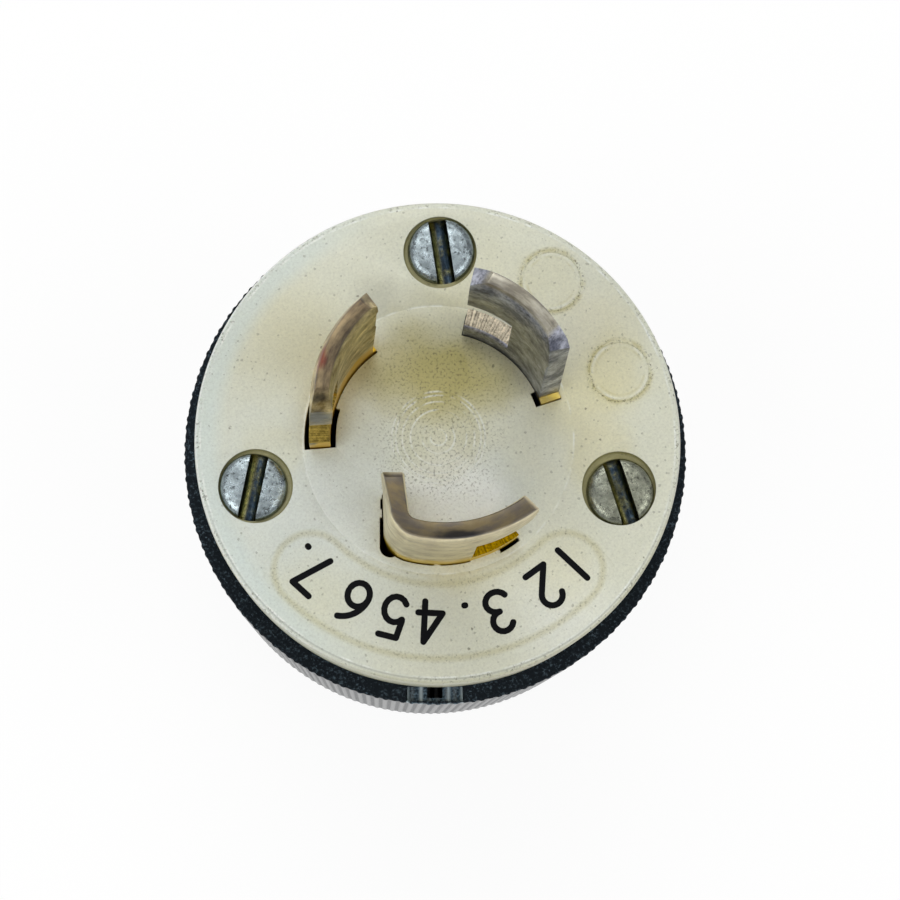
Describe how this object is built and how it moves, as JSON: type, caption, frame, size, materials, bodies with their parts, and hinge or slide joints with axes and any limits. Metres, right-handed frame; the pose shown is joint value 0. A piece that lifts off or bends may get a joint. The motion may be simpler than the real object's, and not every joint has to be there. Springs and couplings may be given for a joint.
{
  "type": "locking plug",
  "caption": "Locking mains plug with curved hooked blades and an L-shaped ground blade in a cream face, on a black ribbed housing with a cord clamp at its tail.",
  "frame": {"origin": "middle of the tail, on the plane that the plug stands on", "axes": "+Z along the plug's axis towards the blade tips, -Y on the ground blade's side, +X on the line blade's side"},
  "size_m": [0.0398, 0.0396, 0.0665],
  "materials": {
    "cream_nylon": "satin, translucent, lightly soiled",
    "black_nylon": "rough moulded",
    "white_nylon": "satin",
    "nickel_plated_brass": "dull, worn plating",
    "brass": "plain",
    "zinc_plated_steel": "worn zinc plating",
    "green_steel": "green dyed zinc",
    "black_rubber": "matte"
  },
  "bodies": {
    "root": {"front_body": "cream_nylon", "housing": "black_nylon", "terminal_block": "white_nylon", "line_blade": "nickel_plated_brass", "neutral_blade": "nickel_plated_brass", "ground_blade": "nickel_plated_brass", "line_clamp_plate": "brass", "neutral_clamp_plate": "brass", "ground_clamp_plate": "brass", "line_terminal_screw": "brass", "neutral_terminal_screw": "zinc_plated_steel", "ground_terminal_screw": "green_steel", "assembly_screws": "zinc_plated_steel", "threaded_inserts": "brass", "cord_grommet": "black_rubber", "right_clamp_jaw": "black_nylon", "left_clamp_jaw": "black_nylon", "clamp_screws": "zinc_plated_steel", "clamp_nuts": "zinc_plated_steel"}
  },
  "joints": []
}
